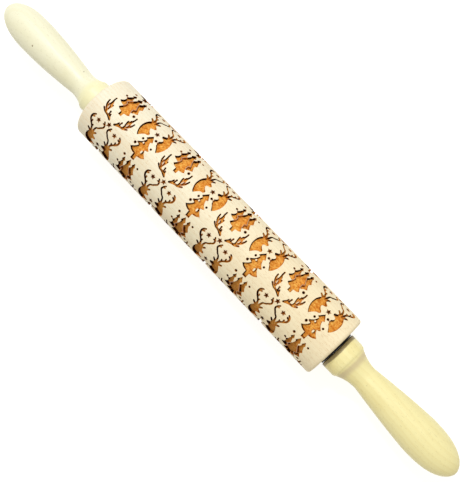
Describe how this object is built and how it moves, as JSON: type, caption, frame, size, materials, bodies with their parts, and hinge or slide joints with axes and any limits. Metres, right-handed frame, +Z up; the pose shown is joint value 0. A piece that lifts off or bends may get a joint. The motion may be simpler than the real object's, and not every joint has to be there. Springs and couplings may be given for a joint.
{
  "type": "embossed rolling pin",
  "caption": "Wooden rolling pin with a carved barrel that turns on a hidden steel axle between two turned handles, for pressing a winter pattern into dough.",
  "frame": {"origin": "under the middle of the barrel, on the line where it rests on a table", "axes": "+X along the pin towards the longer handle, +Y across it, +Z up from the table"},
  "size_m": [0.4337, 0.0478, 0.0479],
  "materials": {
    "barrel_wood": "sanded bare beech, laser carved",
    "handle_wood": "sanded pale wood, lightly waxed",
    "nylon": "moulded natural nylon",
    "steel": "drawn steel rod",
    "black_nylon": "punched black nylon sheet"
  },
  "bodies": {
    "handles": {"left_handle": "handle_wood", "right_handle": "handle_wood", "axle": "steel"},
    "washers": {"left_washer": "black_nylon", "right_washer": "black_nylon"},
    "barrel": {"barrel": "barrel_wood", "left_bush": "nylon", "right_bush": "nylon"}
  },
  "joints": [
    {"name": "end_float", "type": "slide", "parent": "handles", "child": "washers", "axis": [1, 0, 0], "range_m": [-0.0004, 0.0004]},
    {"name": "barrel_spin", "type": "hinge", "parent": "washers", "child": "barrel", "pos_m": [0, 0, 0.02393], "axis": [1, 0, 0], "continuous": true}
  ]
}
